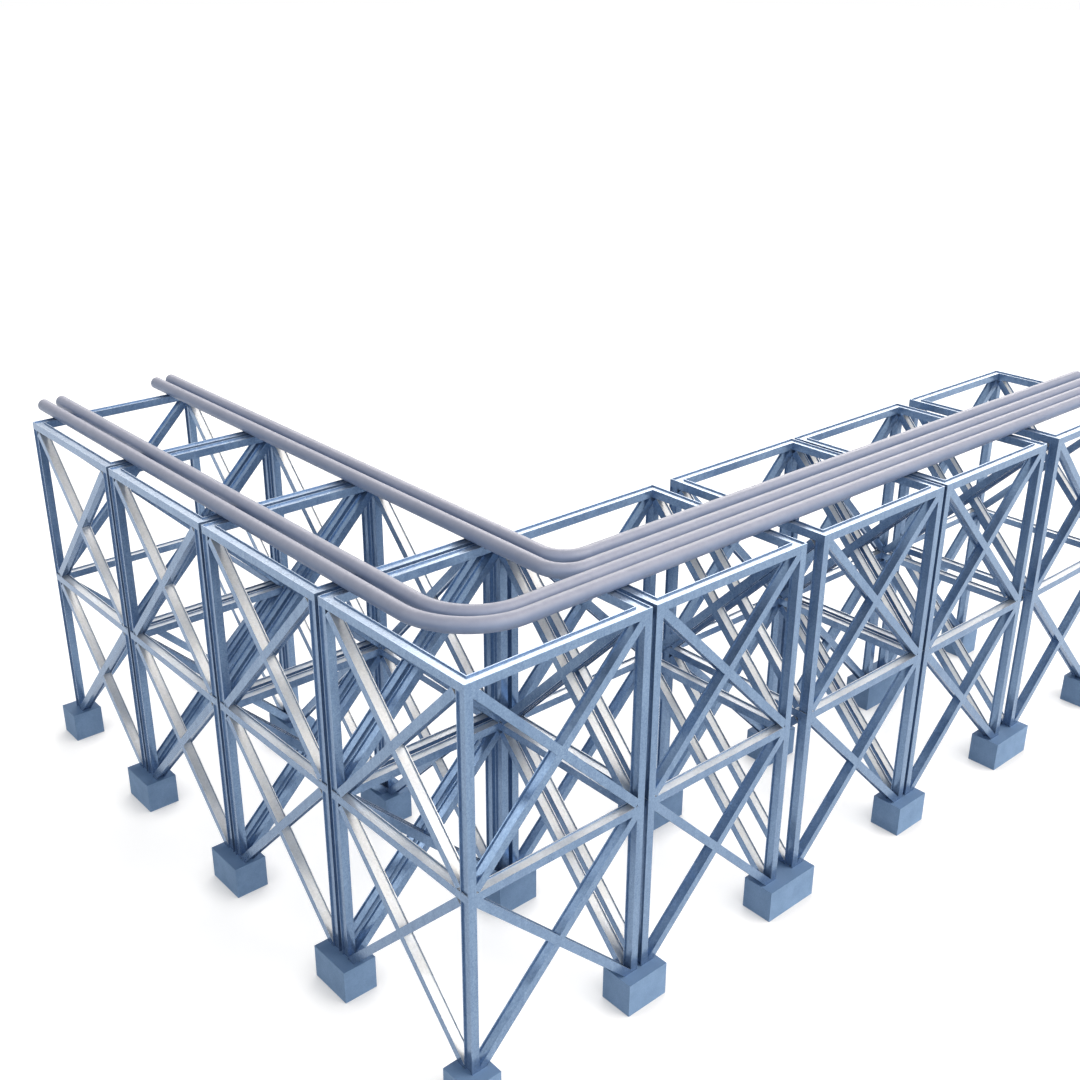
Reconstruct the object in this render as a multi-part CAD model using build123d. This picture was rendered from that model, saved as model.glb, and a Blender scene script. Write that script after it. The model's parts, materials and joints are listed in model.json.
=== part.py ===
"""Pipe bridge: an L-shaped rack of square braced bays that carries four bent pipes.

Millimetres, +Z up. The rack's outer corner is at X = 0, Y = 0 on the ground;
one arm runs along +X, the other along +Y. Every bay stands clear of the next one.
"""
import os

from build123d import *

os.makedirs("parts", exist_ok=True)

# Steel section of every member: two flanges on a boxed core that stands back from their edges.
# Posts, rails and braces all show a flange to the outside of their bay.
FLANGE_WIDTH = 127.0
SECTION_DEPTH = 160.0
FLANGE = 14.0
CORE_SETBACK = 23.0

# Bays
BAY = 3020.0
SMALL_GAP = 80.0
BIG_GAP = 400.0
PAD_HEIGHT = 550.0
FRAME_HEIGHT = 5780.0
MID_RAIL_HEIGHT = 2775.0

# Braces: their centre lines run between the inner edges of the posts.
# Between posts they are cut shorter, and a corner of each square end is let into the rail.
# In a pair, the side that holds the posts comes first, the side between posts second.
WITH_POSTS, BETWEEN_POSTS = 0, 1
UPPER_CROSS_ABOVE_MID_RAIL = [40.0, 0.0]
LOWER_CROSS_BELOW_PAD_TOP = 30.0
UPPER_BRACE_SEAT = 4.27
LOWER_BRACE_SEAT = 5.371

# Pads: how far each block reaches past a post's axis
PAD_REACH = 270.0

# Pipes
PIPE_RADIUS = 219.1 / 2
SEAT_CLEARANCE = 0.3
PIPE_OVERHANG = 480.0
THIRD_PIPE_FROM_INNER_EDGE = 415.0
INNER_PIPE_FROM_INNER_EDGE = 115.0
PIPES_ACROSS_LEFT_ARM = [420.0, 750.0, BAY - THIRD_PIPE_FROM_INNER_EDGE, BAY - INNER_PIPE_FROM_INNER_EDGE]
PIPES_ACROSS_RIGHT_ARM = [700.0, 970.0, 1250.0, 1575.0]
PIPE_BEND_RADII = [1100.0, 880.0, 420.0, 420.0]
PIPE_NAMES = ["outer_pipe", "second_pipe", "third_pipe", "inner_pipe"]

# Gaps after each bay, walking away from the corner
RIGHT_ARM_GAPS = [SMALL_GAP, BIG_GAP, SMALL_GAP, BIG_GAP]
LEFT_ARM_GAPS = [SMALL_GAP, SMALL_GAP, SMALL_GAP]

# Derived
CORE = FLANGE_WIDTH - 2 * CORE_SETBACK
POST_X = FLANGE_WIDTH / 2
POST_Y = SECTION_DEPTH / 2
POST_INNER_EDGE = [FLANGE_WIDTH, SECTION_DEPTH]
RAIL_TOP = PAD_HEIGHT + FRAME_HEIGHT
RAIL_AXIS = RAIL_TOP - FLANGE_WIDTH / 2
RAIL_UNDERSIDE = RAIL_TOP - FLANGE_WIDTH
MID_RAIL_AXIS = PAD_HEIGHT + MID_RAIL_HEIGHT
MID_RAIL_TOP = MID_RAIL_AXIS + FLANGE_WIDTH / 2
MID_RAIL_UNDERSIDE = MID_RAIL_AXIS - FLANGE_WIDTH / 2


def starts(gaps):
    """Start of each bay along its arm, the corner bay first."""
    places = [0.0]
    for gap in gaps:
        places.append(places[-1] + BAY + gap)
    return places


RIGHT_STARTS = starts(RIGHT_ARM_GAPS)
LEFT_STARTS = starts(LEFT_ARM_GAPS)
RIGHT_END = RIGHT_STARTS[-1] + BAY
LEFT_END = LEFT_STARTS[-1] + BAY


def box_between(low, high):
    """A box from its lowest corner to its highest corner."""
    size = [b - a for a, b in zip(low, high)]
    return Pos(*low) * Box(*size, align=(Align.MIN, Align.MIN, Align.MIN))


def strip(start, end, width):
    """Flat strip of a given width along the line between two points."""
    line = end - start
    middle = (start + end) / 2
    turn = Vector(1, 0, 0).get_signed_angle(line)
    return Pos(middle.X, middle.Y) * Rot(0, 0, turn) * Rectangle(line.length, width)


def window(left, right, low, high):
    """Rectangle between two sides and two levels."""
    return Pos((left + right) / 2, (low + high) / 2) * Rectangle(right - left, high - low)


def end_cut(line, seat, side_kind):
    """How much shorter a brace's end is, so that its corner goes a given depth into the rail."""
    if side_kind == WITH_POSTS:
        return Vector(0, 0)
    along = line.normalized()
    return along * ((FLANGE_WIDTH / 2 * abs(along.X) - seat) / abs(along.Y))


def brace_strips(width, side_kind):
    """The two crosses of a side, with square ends."""
    crosses = [(RAIL_UNDERSIDE, MID_RAIL_TOP + UPPER_CROSS_ABOVE_MID_RAIL[side_kind], UPPER_BRACE_SEAT),
               (MID_RAIL_UNDERSIDE, PAD_HEIGHT - LOWER_CROSS_BELOW_PAD_TOP, LOWER_BRACE_SEAT)]
    edge = POST_INNER_EDGE[side_kind]
    strips = []
    for head_level, foot_level, seat in crosses:
        for head_edge, foot_edge in [(edge, BAY - edge), (BAY - edge, edge)]:
            head = Vector(head_edge, head_level)
            foot = Vector(foot_edge, foot_level)
            cut = end_cut(foot - head, seat, side_kind)
            strips.append(strip(head + cut, foot - cut, width))
    return Sketch() + strips


def post_strips(width):
    """Both posts of a side, from the pad up into the top rail, as far as its core."""
    top = RAIL_AXIS - CORE / 2
    posts = [window(axis - width / 2, axis + width / 2, PAD_HEIGHT, top) for axis in (POST_X, BAY - POST_X)]
    return Sketch() + posts


def rail_strip(level, width, left, right):
    """A level rail of a side."""
    return window(left, right, level - width / 2, level + width / 2)


def flat_side(flanges, cores):
    """Two layers of flanges with the cores between them."""
    near = extrude(flanges, FLANGE)
    far = Pos(0, 0, SECTION_DEPTH - FLANGE) * near
    between = Pos(0, 0, FLANGE) * extrude(cores, SECTION_DEPTH - 2 * FLANGE)
    return near + far + between


def top_rail():
    """The top rail of a side, lying flat, before its mitres."""
    return flat_side(rail_strip(RAIL_AXIS, FLANGE_WIDTH, 0, BAY), rail_strip(RAIL_AXIS, CORE, 0, BAY))


def corner_wedge():
    """Half of the corner square beyond the mitre line, at rail height."""
    margin = 5.0
    reach = SECTION_DEPTH + margin
    corner = Polyline((-margin, -margin), (reach, reach), (-margin, reach), close=True)
    return Pos(0, 0, RAIL_UNDERSIDE) * extrude(make_face(corner), FLANGE_WIDTH + margin)


def about_bay_centre(shape):
    """The same piece turned half round about the bay's middle."""
    centre = BAY / 2
    return Pos(centre, centre, 0) * Rot(0, 0, 180) * Pos(-centre, -centre, 0) * shape


def stand_on_front(flat):
    """Stand a flat side up so that it faces -Y."""
    return Location(Plane(origin=(0, SECTION_DEPTH, 0), x_dir=(1, 0, 0), z_dir=(0, -1, 0))) * flat


def stand_on_left(flat):
    """Stand a flat side up so that it faces -X."""
    return Location(Plane(origin=(0, 0, 0), x_dir=(0, 1, 0), z_dir=(1, 0, 0))) * flat


def recess_plates():
    """Plates in a post's outer recess that carry the mid rail's lines to the corner."""
    inside = SECTION_DEPTH - FLANGE
    face = box_between((0, FLANGE, MID_RAIL_UNDERSIDE), (FLANGE, inside, MID_RAIL_TOP))
    shelf = box_between((0, FLANGE, MID_RAIL_AXIS - CORE / 2), (POST_X, inside, MID_RAIL_AXIS + CORE / 2))
    return face + shelf


def front_side():
    """Side that holds two posts; it faces -Y, its top rail is mitred at both ends."""
    above_pads = window(0, BAY, PAD_HEIGHT, RAIL_TOP)
    flanges = post_strips(FLANGE_WIDTH) + rail_strip(MID_RAIL_AXIS, FLANGE_WIDTH, POST_X, BAY - POST_X)
    flanges += brace_strips(FLANGE_WIDTH, WITH_POSTS) & above_pads
    cores = post_strips(CORE) + rail_strip(MID_RAIL_AXIS, CORE, POST_X, BAY - POST_X)
    cores += brace_strips(CORE, WITH_POSTS) & above_pads
    side = stand_on_front(flat_side(flanges, cores) + top_rail())
    side += recess_plates()
    side += Pos(BAY, 0, 0) * mirror(recess_plates(), Plane.YZ)
    side -= corner_wedge()
    side -= Pos(BAY, 0, 0) * mirror(corner_wedge(), Plane.YZ)
    return side


def left_side():
    """Side without posts; it faces -X and stands between the posts of the other two."""
    between_posts = window(SECTION_DEPTH, BAY - SECTION_DEPTH, PAD_HEIGHT, RAIL_TOP)
    flanges = brace_strips(FLANGE_WIDTH, BETWEEN_POSTS)
    flanges += rail_strip(MID_RAIL_AXIS, FLANGE_WIDTH, 0, BAY)
    cores = brace_strips(CORE, BETWEEN_POSTS)
    cores += rail_strip(MID_RAIL_AXIS, CORE, 0, BAY)
    side = stand_on_left(flat_side(flanges & between_posts, cores & between_posts) + top_rail())
    wedge = mirror(corner_wedge(), Plane(origin=(0, 0, 0), z_dir=(1, -1, 0)))
    side -= wedge
    side -= Pos(0, BAY, 0) * mirror(wedge, Plane.XZ)
    return side


def pad_block(x_low, x_high, y_low, y_high):
    """One plain block; the limits are post axes."""
    return box_between((x_low - PAD_REACH, y_low - PAD_REACH, 0),
                       (x_high + PAD_REACH, y_high + PAD_REACH, PAD_HEIGHT))


def pads_along(bay_starts, first, post_axis):
    """Post axes at each end of the pads along an arm, from a given bay's far end on."""
    spans = []
    for number in range(first, len(bay_starts)):
        near = bay_starts[number] + BAY - post_axis
        far = near
        if number + 1 < len(bay_starts):
            far = bay_starts[number + 1] + post_axis
        spans.append((near, far))
    return spans


def straight_pipe(start, end):
    """A straight run of pipe between two points."""
    run = end - start
    return extrude(Plane(origin=start, z_dir=run) * Circle(PIPE_RADIUS), run.length)


def pipe(across_left, across_right, bend_radius):
    """One pipe: along the left arm, round its bend, along the right arm."""
    level = RAIL_TOP + SEAT_CLEARANCE + PIPE_RADIUS
    bend_start = Vector(across_left, across_right + bend_radius, level)
    bend_end = Vector(across_left + bend_radius, across_right, level)
    bend_axis = Axis((bend_end.X, bend_start.Y, level), (0, 0, 1))
    bend = revolve(Plane(origin=bend_start, z_dir=(0, -1, 0)) * Circle(PIPE_RADIUS), bend_axis, 90)
    left_run = straight_pipe(Vector(across_left, LEFT_END + PIPE_OVERHANG, level), bend_start)
    right_run = straight_pipe(bend_end, Vector(RIGHT_END + PIPE_OVERHANG, across_right, level))
    return left_run + bend + right_run


def as_solids(*solids):
    """Separate solids in one node, or the solid itself."""
    return solids[0] if len(solids) == 1 else Compound(children=list(solids))


FRONT = front_side()
REAR = about_bay_centre(FRONT)
LEFT = left_side()
RIGHT = about_bay_centre(LEFT)
SIDES = {"front": FRONT, "rear": REAR, "left": LEFT, "right": RIGHT}

nodes = {}


def place_bay(name, x, y):
    """Put the four sides of one bay in place."""
    for side, shape in SIDES.items():
        nodes[name + "_" + side] = Pos(x, y, 0) * shape


place_bay("corner_bay", 0, 0)
for number, start in enumerate(LEFT_STARTS[1:], 1):
    place_bay(f"left_bay_{number}", 0, start)
for number, start in enumerate(RIGHT_STARTS[1:], 1):
    place_bay(f"right_bay_{number}", start, 0)

for name, left, right, radius in zip(PIPE_NAMES, PIPES_ACROSS_LEFT_ARM, PIPES_ACROSS_RIGHT_ARM, PIPE_BEND_RADII):
    nodes[name] = pipe(left, right, radius)

INNER_X = BAY - POST_X
INNER_Y = BAY - POST_Y
nodes["outer_corner_pad"] = pad_block(POST_X, POST_X, POST_Y, POST_Y)
nodes["inner_corner_pad"] = pad_block(INNER_X, RIGHT_STARTS[1] + POST_X, INNER_Y, LEFT_STARTS[1] + POST_Y)
nodes["left_arm_outer_pads"] = as_solids(*[
    pad_block(POST_X, POST_X, near, far) for near, far in pads_along(LEFT_STARTS, 0, POST_Y)])
nodes["left_arm_inner_pads"] = as_solids(*[
    pad_block(INNER_X, INNER_X, near, far) for near, far in pads_along(LEFT_STARTS, 1, POST_Y)])
nodes["right_arm_outer_pads"] = as_solids(*[
    pad_block(near, far, POST_Y, POST_Y) for near, far in pads_along(RIGHT_STARTS, 0, POST_X)])
nodes["right_arm_inner_pads"] = as_solids(*[
    pad_block(near, far, INNER_Y, INNER_Y) for near, far in pads_along(RIGHT_STARTS, 1, POST_X)])

for name, shape in nodes.items():
    export_step(shape, f"parts/{name}.step")
print(len(nodes), "nodes")
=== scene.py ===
import json
import math

import bmesh
import bpy
from mathutils import Matrix, Vector

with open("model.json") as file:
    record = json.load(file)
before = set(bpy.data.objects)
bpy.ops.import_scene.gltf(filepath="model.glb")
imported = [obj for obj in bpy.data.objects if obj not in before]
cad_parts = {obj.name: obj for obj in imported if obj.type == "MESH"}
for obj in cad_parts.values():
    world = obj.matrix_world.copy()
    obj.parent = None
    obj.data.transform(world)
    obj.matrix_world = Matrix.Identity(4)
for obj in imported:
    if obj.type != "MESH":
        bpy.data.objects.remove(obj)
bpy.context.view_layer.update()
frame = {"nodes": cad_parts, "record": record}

# Camera of the photograph; the picture is square
CAMERA_PLACE = (-7.790, -10.1135, 13.6115)
CAMERA_AZIMUTH = 48.617
CAMERA_DOWN = 23.379
CAMERA_ROLL = -0.308
CAMERA_LENS = 43.49
CAMERA_SENSOR = 36.0
CAMERA_REACH = 1500.0

# Even light from all sides, weak beside the lamps
SKY_LIGHT = 0.13

# Large soft lamps round the middle of the rack, so far off that all its bays mirror them alike.
# Azimuth, elevation, width and height are degrees as the rack sees them; then come the brightness
# and the warmth, 0 for white light.
RACK_MIDDLE = (5.0, 4.0, 4.0)
LAMP_DISTANCE = 400.0
LAMPS = (
    ("back_lamp", 35.5, 27.5, 33, 29, 4.6, 0.10),
    ("back_middle_lamp", 57.5, 36.5, 8, 11, 4.6, 0.10),
    ("back_left_lamp", 69, 32, 12, 16, 4.6, 0.10),
    ("side_lamp", -50, 49, 36, 34, 5.6, 0.18),
    ("far_left_lamp", 132, 30, 10, 8, 3.6, 0.10),
    ("front_lamp", 276, 27, 60, 36, 2.3, 0.0),
    ("left_lamp", 184, 24, 40, 30, 2.3, 0.0),
)

# White floor: its own glow is weaker near the rack, and weakest close round the pads, where the dimming
# is a painted contact shadow
FLOOR_REACH = 600.0
FLOOR_GREY = 0.5
FLOOR_GLOW_NEAR = 0.76
FLOOR_NEAR_UNTIL = 15.0
FLOOR_WHITE_FROM = 110.0
PAD_SHADOW_REACH = 0.45
PAD_SHADOW_SAMPLES = 8

# Painted sunlight: the steel is painted paler, in cream, most where it faces this way
PAINTED_SUN_SIDE = (0.45, -0.60, 0.66)

# Painted sunlight lies pale on the level ledges of the mid rails; above this height little of it is
# left, as painted shade under the pipes
LEDGE_PAINTED_SUNLIGHT = 0.8
PAINTED_PIPE_SHADE_HEIGHT = 5.0
PAINTED_PIPE_SHADE_FADE = 0.3
LEDGE_SUNLIGHT_IN_PIPE_SHADE = 0.3

# From this value on the painted sunlight is full: the zinc is less metallic there, and rougher by the
# last one
FULL_PAINTED_SUNLIGHT = 0.9
PLAIN_ZINC_METAL = 0.62
SUNLIT_ZINC_METAL = 0.15
SUNLIT_ZINC_DULLNESS = 0.15

# Tones of the finishes, each as a darker and a paler end
ZINC_CLOUDS = ((0.155, 0.250, 0.405), (0.212, 0.322, 0.492))
ZINC_GRAIN = ((0.125, 0.204, 0.335), (0.265, 0.388, 0.572))
ZINC_STREAKS = ((0.90, 0.92, 0.94), (1.08, 1.07, 1.05))
ZINC_FLAKES = ((0.85, 0.87, 0.90), (1.15, 1.12, 1.09))
# The next tone is the cream of the painted sunlight on the zinc
ZINC_PAINTED_SUNLIGHT = ((0.66, 0.66, 0.64), (0.84, 0.84, 0.82))
PIPE_COAT = ((0.20, 0.255, 0.385), (0.255, 0.315, 0.455))
# The next tone is painted light, paler and lilac, for the pipes' tops
PIPE_PAINTED_TOP_LIGHT = ((0.31, 0.325, 0.41), (0.38, 0.39, 0.48))
CONCRETE_CLOUDS = ((0.190, 0.312, 0.505), (0.250, 0.394, 0.615))
CONCRETE_PORES = ((0.80, 0.82, 0.85), (1.05, 1.04, 1.03))
# The next tone is painted shade on the tops of the pads
CONCRETE_PAINTED_TOP_SHADE = (0.105, 0.185, 0.325)


def empty_tree(owner, output_kind):
    """Emptied node tree of a material or a world, with its output."""
    owner.use_nodes = True
    tree = owner.node_tree
    tree.nodes.clear()
    return tree, tree.nodes.new(output_kind)


def new_finish(name):
    """Material with its emptied tree, its output and the piece's own coordinates."""
    material = bpy.data.materials.new(name)
    tree, output = empty_tree(material, "ShaderNodeOutputMaterial")
    return material, tree, output, tree.nodes.new("ShaderNodeTexCoord").outputs["Object"]


def add(tree, kind, values=None, **settings):
    """One node, with its settings and the values of its sockets."""
    node = tree.nodes.new(kind)
    for key, value in settings.items():
        setattr(node, key, value)
    for key, value in (values or {}).items():
        node.inputs[key].default_value = value
    return node


def joined(tree, operation, first, second):
    """Sum, product or larger of two value sockets."""
    node = add(tree, "ShaderNodeMath", operation=operation)
    tree.links.new(first, node.inputs[0])
    tree.links.new(second, node.inputs[1])
    return node.outputs[0]


def ramp(tree, source, tones, start, end):
    """Colour ramp from the first tone at start to the second at end, fed by a socket."""
    node = tree.nodes.new("ShaderNodeValToRGB")
    for element, position, tone in zip(node.color_ramp.elements, (start, end), tones):
        element.position = position
        element.color = (*tone, 1)
    tree.links.new(source, node.inputs["Fac"])
    return node.outputs["Color"]


def blend(tree, factor, first, second, mode="MIX"):
    """Mix of two colour sockets; the factor is a number or a socket."""
    node = add(tree, "ShaderNodeMix", data_type="RGBA", blend_type=mode)
    if isinstance(factor, float):
        node.inputs["Factor"].default_value = factor
    else:
        tree.links.new(factor, node.inputs["Factor"])
    tree.links.new(first, node.inputs["A"])
    tree.links.new(second, node.inputs["B"])
    return node.outputs["Result"]


def spread(tree, source, taken, given):
    """A value socket mapped from the range taken to the range given, and held inside it."""
    node = add(tree, "ShaderNodeMapRange", {
        "From Min": taken[0], "From Max": taken[1], "To Min": given[0], "To Max": given[1]})
    tree.links.new(source, node.inputs["Value"])
    return node.outputs["Result"]


def stretched(tree, source, scale):
    """Coordinates squeezed or stretched along each axis."""
    node = add(tree, "ShaderNodeMapping", {"Scale": scale})
    tree.links.new(source, node.inputs["Vector"])
    return node.outputs["Vector"]


def noise(tree, place, scale, detail, roughness):
    """Cloudy value from 0 to 1; a larger scale gives smaller clouds."""
    node = add(tree, "ShaderNodeTexNoise", {"Scale": scale, "Detail": detail, "Roughness": roughness})
    tree.links.new(place, node.inputs["Vector"])
    return node.outputs["Fac"]


def facing(tree):
    """The direction in which the surface faces."""
    return tree.nodes.new("ShaderNodeNewGeometry").outputs["Normal"]


def upright_part(tree, source):
    """How far a direction points up, or how high a place lies."""
    node = tree.nodes.new("ShaderNodeSeparateXYZ")
    tree.links.new(source, node.inputs["Vector"])
    return node.outputs["Z"]


def relief(tree, source, strength, depth):
    """Fine bumps from a value socket; the depth is in metres."""
    node = add(tree, "ShaderNodeBump", {"Strength": strength, "Distance": depth})
    tree.links.new(source, node.inputs["Height"])
    return node.outputs["Normal"]


def surface(tree, output, values, sockets):
    """Shader of a finish, with its even values and the sockets that feed the rest."""
    body = add(tree, "ShaderNodeBsdfPrincipled", values)
    for name, source in sockets.items():
        tree.links.new(source, body.inputs[name])
    tree.links.new(body.outputs[0], output.inputs[0])


def seen_directly_or_mirrored(tree):
    """1 for what the camera, the metal's gloss or glass sees, else 0."""
    path = tree.nodes.new("ShaderNodeLightPath")
    total = path.outputs["Is Camera Ray"]
    for name in ("Is Glossy Ray", "Is Transmission Ray"):
        total = joined(tree, "MAXIMUM", total, path.outputs[name])
    return total


def camera_like_the_photo():
    """Camera turned by its azimuth, tilted down and rolled as it was for the photograph."""
    azimuth = math.radians(CAMERA_AZIMUTH)
    down = math.radians(CAMERA_DOWN)
    roll = math.radians(CAMERA_ROLL)
    forward = Vector((math.cos(down) * math.cos(azimuth),
                      math.cos(down) * math.sin(azimuth),
                      -math.sin(down)))
    right = forward.cross(Vector((0, 0, 1))).normalized()
    below = forward.cross(right)
    right, below = (math.cos(roll) * right + math.sin(roll) * below,
                    math.cos(roll) * below - math.sin(roll) * right)
    place = Matrix((right, -below, -forward)).transposed().to_4x4()
    place.translation = CAMERA_PLACE
    data = bpy.data.cameras.new("camera")
    data.sensor_width = CAMERA_SENSOR
    data.sensor_height = CAMERA_SENSOR
    data.sensor_fit = "HORIZONTAL"
    data.lens = CAMERA_LENS
    data.clip_end = CAMERA_REACH
    camera = bpy.data.objects.new("camera", data)
    camera.matrix_world = place
    bpy.context.collection.objects.link(camera)
    bpy.context.scene.camera = camera


def sky():
    """Even pale light; what the camera and the metal see of it is white."""
    world = bpy.data.worlds.new("sky")
    bpy.context.scene.world = world
    tree, output = empty_tree(world, "ShaderNodeOutputWorld")
    light = add(tree, "ShaderNodeBackground", {"Color": (1, 1, 1, 1), "Strength": SKY_LIGHT})
    seen = add(tree, "ShaderNodeBackground", {"Color": (1, 1, 1, 1), "Strength": 1.0})
    mix = tree.nodes.new("ShaderNodeMixShader")
    tree.links.new(seen_directly_or_mirrored(tree), mix.inputs[0])
    tree.links.new(light.outputs[0], mix.inputs[1])
    tree.links.new(seen.outputs[0], mix.inputs[2])
    tree.links.new(mix.outputs[0], output.inputs[0])


def floor_white():
    """Grey that takes the soft shadows, under a white glow that only the camera and the metal see; the
    glow dims close round the pads as a painted contact shadow.
    """
    material, tree, output, place = new_finish("floor_white")
    matte = add(tree, "ShaderNodeBsdfDiffuse", {"Color": (FLOOR_GREY, FLOOR_GREY, FLOOR_GREY, 1)})
    glow = add(tree, "ShaderNodeEmission", {"Color": (1, 1, 1, 1)})
    distance = add(tree, "ShaderNodeVectorMath", operation="LENGTH")
    tree.links.new(place, distance.inputs[0])
    away = spread(tree, distance.outputs["Value"],
                  (FLOOR_NEAR_UNTIL, FLOOR_WHITE_FROM), (FLOOR_GLOW_NEAR, 1.0))
    # Painted contact shadow: the glow dims close round the pads
    painted_pad_shadow = add(tree, "ShaderNodeAmbientOcclusion", {"Distance": PAD_SHADOW_REACH},
                  samples=PAD_SHADOW_SAMPLES)
    strength = joined(tree, "MULTIPLY", seen_directly_or_mirrored(tree), away)
    strength = joined(tree, "MULTIPLY", strength, painted_pad_shadow.outputs["AO"])
    tree.links.new(strength, glow.inputs["Strength"])
    both = tree.nodes.new("ShaderNodeAddShader")
    tree.links.new(matte.outputs[0], both.inputs[0])
    tree.links.new(glow.outputs[0], both.inputs[1])
    tree.links.new(both.outputs[0], output.inputs[0])
    return material


def floor():
    """Wide white floor that keeps the soft shadow of the pads and meets the white sky far away."""
    mesh = bpy.data.meshes.new("floor")
    flat = bmesh.new()
    bmesh.ops.create_grid(flat, x_segments=1, y_segments=1, size=FLOOR_REACH)
    flat.to_mesh(mesh)
    flat.free()
    piece = bpy.data.objects.new("floor", mesh)
    bpy.context.collection.objects.link(piece)
    piece.data.materials.append(floor_white())


def lamp(name, azimuth, elevation, wide, tall, brightness, warmth):
    """Large soft lamp that looks at the middle of the rack, as a row of LAMPS gives it."""
    data = bpy.data.lights.new(name, "AREA")
    data.color = (1.0, 1.0 - 0.5 * warmth, 1.0 - warmth)
    data.shape = "RECTANGLE"
    data.size = 2 * LAMP_DISTANCE * math.tan(math.radians(wide) / 2)
    data.size_y = 2 * LAMP_DISTANCE * math.tan(math.radians(tall) / 2)
    data.energy = brightness * math.pi * data.size * data.size_y
    piece = bpy.data.objects.new(name, data)
    turn, rise = math.radians(azimuth), math.radians(elevation)
    away = Vector((math.cos(rise) * math.cos(turn), math.cos(rise) * math.sin(turn), math.sin(rise)))
    piece.location = Vector(RACK_MIDDLE) + away * LAMP_DISTANCE
    piece.rotation_euler = away.to_track_quat("Z", "Y").to_euler()
    piece.visible_camera = False
    bpy.context.collection.objects.link(piece)


def zinc_tone(tree, place, cloud, grain):
    """Blue-grey of the zinc without painted sunlight: cloudy patches, fine grain, faint streaks down and
    spangle flakes.
    """
    tone = blend(tree, 0.58,
                 ramp(tree, cloud, ZINC_CLOUDS, start=0.32, end=0.68),
                 ramp(tree, grain, ZINC_GRAIN, start=0.30, end=0.70))
    streak = noise(tree, stretched(tree, place, (9.0, 9.0, 0.8)), scale=1.0, detail=3.0, roughness=0.6)
    tone = blend(tree, 1.0, tone, ramp(tree, streak, ZINC_STREAKS, start=0.38, end=0.62), "MULTIPLY")
    spangle = add(tree, "ShaderNodeTexVoronoi", {"Scale": 55.0}, feature="F1")
    tree.links.new(place, spangle.inputs["Vector"])
    flake = tree.nodes.new("ShaderNodeSeparateColor")
    tree.links.new(spangle.outputs["Color"], flake.inputs["Color"])
    flake_tone = ramp(tree, flake.outputs["Red"], ZINC_FLAKES, start=0.0, end=1.0)
    return blend(tree, 1.0, tone, flake_tone, "MULTIPLY")


def painted_sunlight_share(tree, place):
    """Share of painted sunlight on the zinc: on the side facing the painted sun, and on low level
    ledges, less high up as painted shade under the pipes, in patches.
    """
    # Painted sunlight on the faces turned towards the painted sun
    to_sun = add(tree, "ShaderNodeVectorMath", {1: PAINTED_SUN_SIDE}, operation="DOT_PRODUCT")
    tree.links.new(facing(tree), to_sun.inputs[0])
    painted_sun_facing = spread(tree, to_sun.outputs["Value"], (0.68, 0.84), (0.0, 1.0))
    # Painted sunlight on level ledges, cut back above the set height as painted shade under the pipes
    level = spread(tree, upright_part(tree, facing(tree)), (0.85, 0.95), (0.0, LEDGE_PAINTED_SUNLIGHT))
    out_of_pipe_shade = spread(tree, upright_part(tree, place),
                       (PAINTED_PIPE_SHADE_HEIGHT, PAINTED_PIPE_SHADE_HEIGHT + PAINTED_PIPE_SHADE_FADE), (1.0, LEDGE_SUNLIGHT_IN_PIPE_SHADE))
    ledge = joined(tree, "MULTIPLY", level, out_of_pipe_shade)
    cloud = noise(tree, place, scale=2.6, detail=4.0, roughness=0.65)
    patch = spread(tree, cloud, (0.32, 0.68), (0.68, 0.92))
    return joined(tree, "MULTIPLY", joined(tree, "MAXIMUM", painted_sun_facing, ledge), patch)


def galvanised():
    """Zinc coat of the steel: blue-grey and glossy, painted cream and made dull where painted sunlight
    falls.
    """
    material, tree, output, place = new_finish("galvanised_steel")
    cloud = noise(tree, place, scale=1.7, detail=5.0, roughness=0.6)
    grain = noise(tree, place, scale=30.0, detail=4.0, roughness=0.8)
    sunlit_share = painted_sunlight_share(tree, place)
    # Cream tone of the painted sunlight
    painted_sunlight_tone = ramp(tree, grain, ZINC_PAINTED_SUNLIGHT, start=0.30, end=0.70)
    clean_shine = spread(tree, cloud, (0.3, 0.7), (0.19, 0.27))
    duller = spread(tree, sunlit_share, (0.0, FULL_PAINTED_SUNLIGHT), (0.0, SUNLIT_ZINC_DULLNESS))
    fine = noise(tree, place, scale=160.0, detail=2.0, roughness=0.5)
    surface(tree, output, {"IOR": 1.5}, {
        "Base Color": blend(tree, sunlit_share, zinc_tone(tree, place, cloud, grain), painted_sunlight_tone),
        "Metallic": spread(tree, sunlit_share, (0.0, FULL_PAINTED_SUNLIGHT), (PLAIN_ZINC_METAL, SUNLIT_ZINC_METAL)),
        "Roughness": joined(tree, "ADD", clean_shine, duller),
        "Normal": relief(tree, fine, strength=0.05, depth=0.001),
    })
    return material


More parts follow.
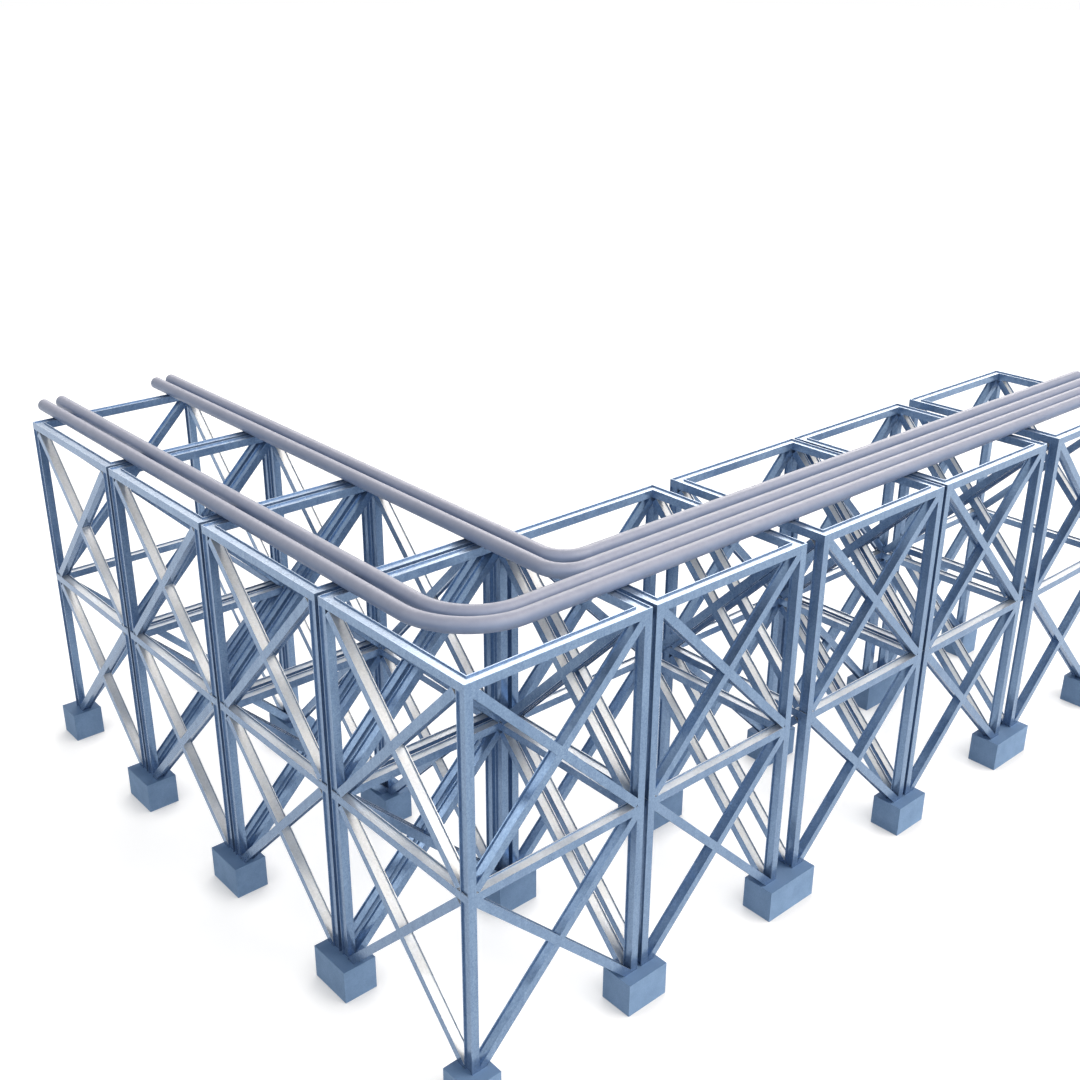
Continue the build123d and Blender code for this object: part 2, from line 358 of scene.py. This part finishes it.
def pipe_coating():
    """Dull lilac-grey coat of the pipes, with painted light making their tops paler."""
    material, tree, output, place = new_finish("pipe_coating")
    cloud = noise(tree, place, scale=1.6, detail=5.0, roughness=0.6)
    drift = noise(tree, place, scale=7.0, detail=4.0, roughness=0.7)
    fine = noise(tree, place, scale=70.0, detail=3.0, roughness=0.6)
    # Painted light: the pipes' tops are painted paler and lilac
    painted_top_light = spread(tree, upright_part(tree, facing(tree)), (0.1, 0.95), (0.0, 0.8))
    tone = blend(tree, painted_top_light,
                 ramp(tree, cloud, PIPE_COAT, start=0.3, end=0.7),
                 ramp(tree, drift, PIPE_PAINTED_TOP_LIGHT, start=0.3, end=0.7))
    surface(tree, output, {"IOR": 1.45}, {
        "Base Color": tone,
        "Roughness": spread(tree, fine, (0.3, 0.7), (0.36, 0.46)),
        "Normal": relief(tree, fine, strength=0.08, depth=0.002),
    })
    return material


def concrete():
    """Blue-grey sealed concrete with pores and clouds; its top is darker with painted shade."""
    material, tree, output, place = new_finish("pad_concrete")
    cloud = noise(tree, place, scale=3.2, detail=6.0, roughness=0.65)
    speck = noise(tree, place, scale=42.0, detail=5.0, roughness=0.75)
    tone = blend(tree, 0.8,
                 ramp(tree, cloud, CONCRETE_CLOUDS, start=0.30, end=0.70),
                 ramp(tree, speck, CONCRETE_PORES, start=0.32, end=0.60), "MULTIPLY")
    # Painted shade: the pads' tops are painted darker
    top = spread(tree, upright_part(tree, facing(tree)), (0.6, 0.95), (0.0, 0.75))
    painted_top_shade = tree.nodes.new("ShaderNodeRGB")
    painted_top_shade.outputs[0].default_value = (*CONCRETE_PAINTED_TOP_SHADE, 1)
    surface(tree, output, {"Roughness": 0.72, "IOR": 1.45}, {
        "Base Color": blend(tree, top, tone, painted_top_shade.outputs[0]),
        "Normal": relief(tree, speck, strength=0.35, depth=0.004),
    })
    return material


camera_like_the_photo()
sky()
floor()
for row in LAMPS:
    lamp(*row)

bpy.context.scene.view_settings.view_transform = "Standard"

finishes = {"galvanised_steel": galvanised(), "pipe_coating": pipe_coating(), "pad_concrete": concrete()}
for subpart in frame["record"]["subparts"]:
    piece = frame["nodes"][subpart["node"]]
    for slot in piece.material_slots:
        slot.material = finishes[subpart["material_slot"]]
